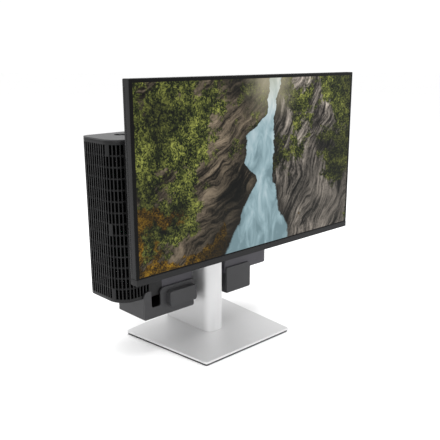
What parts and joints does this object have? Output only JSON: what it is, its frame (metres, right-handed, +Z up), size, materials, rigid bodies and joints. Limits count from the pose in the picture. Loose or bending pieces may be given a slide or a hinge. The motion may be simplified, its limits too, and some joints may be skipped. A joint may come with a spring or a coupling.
{
  "type": "desktop computer with monitor on a stand",
  "caption": "Vented desktop computer held in a cradle on a column stand, with a wide height-adjustable monitor that tilts and turns in front of it.",
  "frame": {"origin": "on the desk, under the middle of the base in X, 133 mm behind the screen's front face", "axes": "+X to the right of someone who faces the screen, +Y back from the screen, +Z up"},
  "size_m": [0.5378, 0.2471, 0.5117],
  "materials": {
    "silver": "satin",
    "charcoal": "fine texture",
    "black": "fine texture",
    "bezel": "satin",
    "panel": "anti-glare",
    "guide": "clear",
    "steel": "zinc plated",
    "board": "solder mask",
    "alloy": "satin",
    "rubber": "matt"
  },
  "bodies": {
    "stand": {"stand_column": "silver", "base_plate": "silver", "base_underlay": "charcoal", "column_cap": "charcoal", "cradle_tray": "charcoal", "cradle_front_left": "charcoal", "cradle_front_right": "charcoal", "pc_front_panel": "charcoal", "pc_right_cover": "charcoal", "pc_vent_cover": "black", "pc_rear_panel": "black", "pc_top_panel": "black", "solid_state_drive": "black", "drive_caddy": "black", "fan_frame": "black", "column_foot_plate": "steel", "column_screw_front": "steel", "column_screw_rear": "steel", "lift_rail": "steel", "cradle_bracket": "steel", "door_pin": "steel", "pc_floor": "steel", "pc_spine": "steel", "pc_board_plate": "steel", "hard_drive": "steel", "port_block": "steel", "power_supply": "steel", "motherboard": "board", "memory_module_1": "board", "memory_module_2": "board", "front_io_board": "board", "cpu_heatsink": "alloy", "base_pad": "rubber"},
    "lift": {"lift_carriage": "steel", "drum_axle": "steel", "arm_bracket": "charcoal", "tilt_pin": "steel"},
    "drum": {"spring_drum": "steel"},
    "tilt": {"tilt_head": "charcoal"},
    "release": {"release_button": "bezel"},
    "screen": {"turn_plate": "steel", "lcd_cell": "panel", "screen_frame": "bezel", "light_guide": "guide", "panel_backplate": "steel", "screen_chin": "bezel", "screen_rear_cover": "bezel", "scaler_board": "board", "power_board": "board", "vesa_plate": "steel", "vesa_screw_1": "steel", "vesa_screw_2": "steel", "vesa_screw_3": "steel", "vesa_screw_4": "steel"},
    "joystick_body": {"joystick": "black"},
    "screen_key": {"screen_power_key": "black"},
    "door": {"cable_door": "charcoal"},
    "latch": {"cover_latch": "charcoal"},
    "pc_button": {"pc_power_button": "alloy"},
    "fan": {"fan_rotor": "black"}
  },
  "joints": [
    {"name": "lift_height", "type": "slide", "parent": "stand", "child": "lift", "axis": [0, 0, 1], "range_m": [-0.065, 0.035]},
    {"name": "drum_turn", "type": "hinge", "parent": "lift", "child": "drum", "pos_m": [0, -0.002, 0.32003], "axis": [1, 0, 0], "range_deg": [-223, 414.5]},
    {"name": "screen_tilt", "type": "hinge", "parent": "lift", "child": "tilt", "pos_m": [0, -0.054, 0.35433], "axis": [-1, 0, 0], "range_deg": [-5, 21]},
    {"name": "release_press", "type": "slide", "parent": "tilt", "child": "release", "axis": [0, 0, 1], "range_m": [0, 0.003], "stiffness_N_per_m": 300},
    {"name": "screen_pivot", "type": "hinge", "parent": "tilt", "child": "screen", "pos_m": [0, -0.076, 0.35433], "axis": [0, 1, 0], "range_deg": [-90, 90]},
    {"name": "joystick_press", "type": "slide", "parent": "screen", "child": "joystick_body", "axis": [0, -1, 0], "range_m": [0, 0.001], "stiffness_N_per_m": 400},
    {"name": "screen_key_press", "type": "slide", "parent": "screen", "child": "screen_key", "axis": [0, -1, 0], "range_m": [0, 0.001], "stiffness_N_per_m": 400},
    {"name": "door_open", "type": "hinge", "parent": "stand", "child": "door", "pos_m": [-0.0785, -0.0105, 0.0906], "axis": [1, 0, 0], "range_deg": [0, 95]},
    {"name": "latch_slide", "type": "slide", "parent": "stand", "child": "latch", "axis": [1, 0, 0], "range_m": [0, 0.007], "stiffness_N_per_m": 200},
    {"name": "pc_button_press", "type": "slide", "parent": "stand", "child": "pc_button", "axis": [-1, 0, 0], "range_m": [0, 0.001], "stiffness_N_per_m": 400},
    {"name": "fan_spin", "type": "hinge", "parent": "stand", "child": "fan", "pos_m": [-0.16875, 0.044, 0.255], "axis": [1, 0, 0], "continuous": true}
  ],
  "couplings": [
    {"joint": "drum_turn", "follows": "lift_height", "rad_per_m": -111.11}
  ]
}
